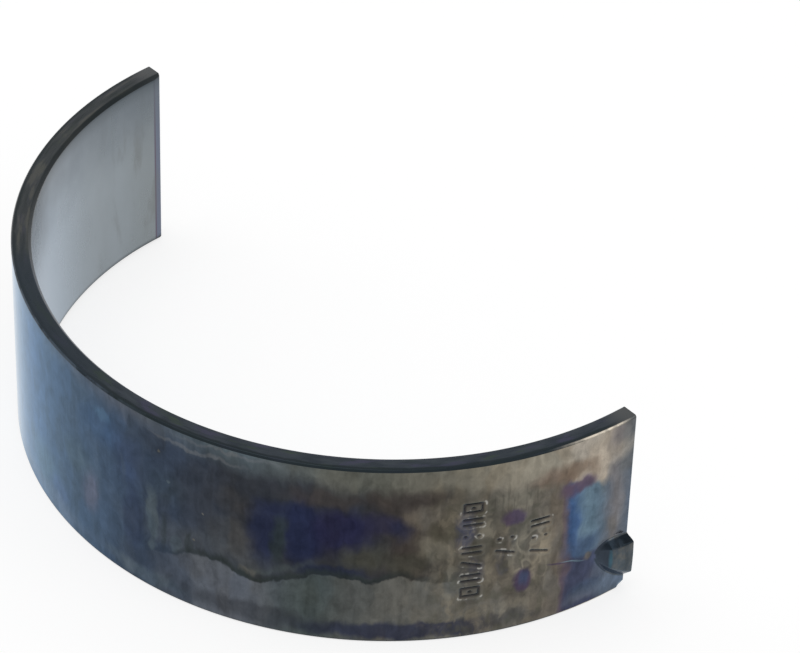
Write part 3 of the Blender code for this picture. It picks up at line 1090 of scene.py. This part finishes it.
def floor():
    """A pale floor that looks white where it is lit, and keeps the shell's shadow."""
    corners = [(x * FLOOR_HALF, y * FLOOR_HALF, 0) for x, y in ((-1, -1), (1, -1), (1, 1), (-1, 1))]
    mesh = bpy.data.meshes.new("floor")
    mesh.from_pydata(corners, [], [(0, 1, 2, 3)])
    plane = bpy.data.objects.new("floor", mesh)
    bpy.context.scene.collection.objects.link(plane)
    material = bpy.data.materials.new("floor_paper")
    material.use_nodes = True
    tree = material.node_tree
    tree.nodes.clear()
    paper = tree.nodes.new("ShaderNodeBsdfDiffuse")
    paper.inputs["Color"].default_value = (FLOOR_TONE, FLOOR_TONE, FLOOR_TONE, 1)
    level = tree.nodes.new("ShaderNodeMath")
    level.operation = 'MULTIPLY'
    level.inputs[1].default_value = FLOOR_GLOW
    glow = tree.nodes.new("ShaderNodeEmission")
    glow.inputs["Color"].default_value = (1, 1, 1, 1)
    total = tree.nodes.new("ShaderNodeAddShader")
    out = tree.nodes.new("ShaderNodeOutputMaterial")
    tree.links.new(seen_rays(tree), level.inputs[0])
    tree.links.new(level.outputs[0], glow.inputs["Strength"])
    tree.links.new(paper.outputs[0], total.inputs[0])
    tree.links.new(glow.outputs[0], total.inputs[1])
    tree.links.new(total.outputs[0], out.inputs["Surface"])
    mesh.materials.append(material)


def world():
    """White round the floor for the camera and for reflections, and a soft fill otherwise."""
    surroundings = bpy.data.worlds.new("studio")
    bpy.context.scene.world = surroundings
    surroundings.use_nodes = True
    tree = surroundings.node_tree
    sky = tree.nodes["Background"]
    sky.inputs["Color"].default_value = (1, 1, 1, 1)
    level = tree.nodes.new("ShaderNodeMapRange")
    level.inputs["To Min"].default_value = SKY_FILL
    level.inputs["To Max"].default_value = 1.0
    tree.links.new(seen_rays(tree), level.inputs["Value"])
    tree.links.new(level.outputs["Result"], sky.inputs["Strength"])


def softbox(name, direction, elevation, distance, size, radiance):
    """An area lamp that faces the shell, from a compass direction and a height over the floor."""
    turn = math.radians(direction)
    tilt = math.radians(elevation)
    aim = Vector((math.cos(turn) * math.cos(tilt), math.sin(turn) * math.cos(tilt), math.sin(tilt)))
    lamp = bpy.data.lights.new(name, 'AREA')
    lamp.shape = 'RECTANGLE'
    lamp.size, lamp.size_y = size
    lamp.energy = radiance * math.pi * size[0] * size[1]
    holder = bpy.data.objects.new(name, lamp)
    bpy.context.scene.collection.objects.link(holder)
    holder.location = aim * distance
    holder.rotation_euler = aim.to_track_quat('Z', 'Y').to_euler()


def lights():
    softbox("overhead", -100, 74, 0.7, (0.5, 0.5), 1.2)
    softbox("right_back", 24, 24, 0.6, (0.22, 0.3), 1.2)
    softbox("left_front", -150, 35, 0.7, (0.3, 0.3), 0.8)


def camera():
    """The camera at the photograph's angle, aimed a little off the bore's axis."""
    forward = Vector((0, math.cos(VIEW_ELEVATION), -math.sin(VIEW_ELEVATION)))
    level_up = Vector((0, math.sin(VIEW_ELEVATION), math.cos(VIEW_ELEVATION)))
    level_right = Vector((1, 0, 0))
    right = math.cos(VIEW_ROLL) * level_right + math.sin(VIEW_ROLL) * level_up
    up = math.cos(VIEW_ROLL) * level_up - math.sin(VIEW_ROLL) * level_right
    offset = VIEW_SHIFT_RIGHT * right + VIEW_SHIFT_UP * up - VIEW_DISTANCE * forward
    axes = Matrix((right, up, -forward)).transposed().to_4x4()
    turn = Matrix.Rotation(VIEW_AZIMUTH, 4, 'Z')
    base = Matrix.Translation(Vector((AXIS_X, AXIS_Y, 0)) * MM)
    lens = bpy.data.cameras.new("camera")
    lens.lens = LENS
    lens.sensor_width = SENSOR_WIDTH
    lens.clip_start = 0.01
    lens.clip_end = 20
    holder = bpy.data.objects.new("camera", lens)
    bpy.context.scene.collection.objects.link(holder)
    holder.matrix_world = base @ turn @ Matrix.Translation(offset * MM) @ axes
    bpy.context.scene.camera = holder


def dress_shell():
    shell = build_shell()
    for material in (tinted_back(), dark_rim(), plain_lining(), parting_face()):
        shell.data.materials.append(material)
    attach(shell, "root")
    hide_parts("bearing_shell")


bpy.context.scene.view_settings.view_transform = 'Standard'
camera()
world()
lights()
floor()
dress_shell()
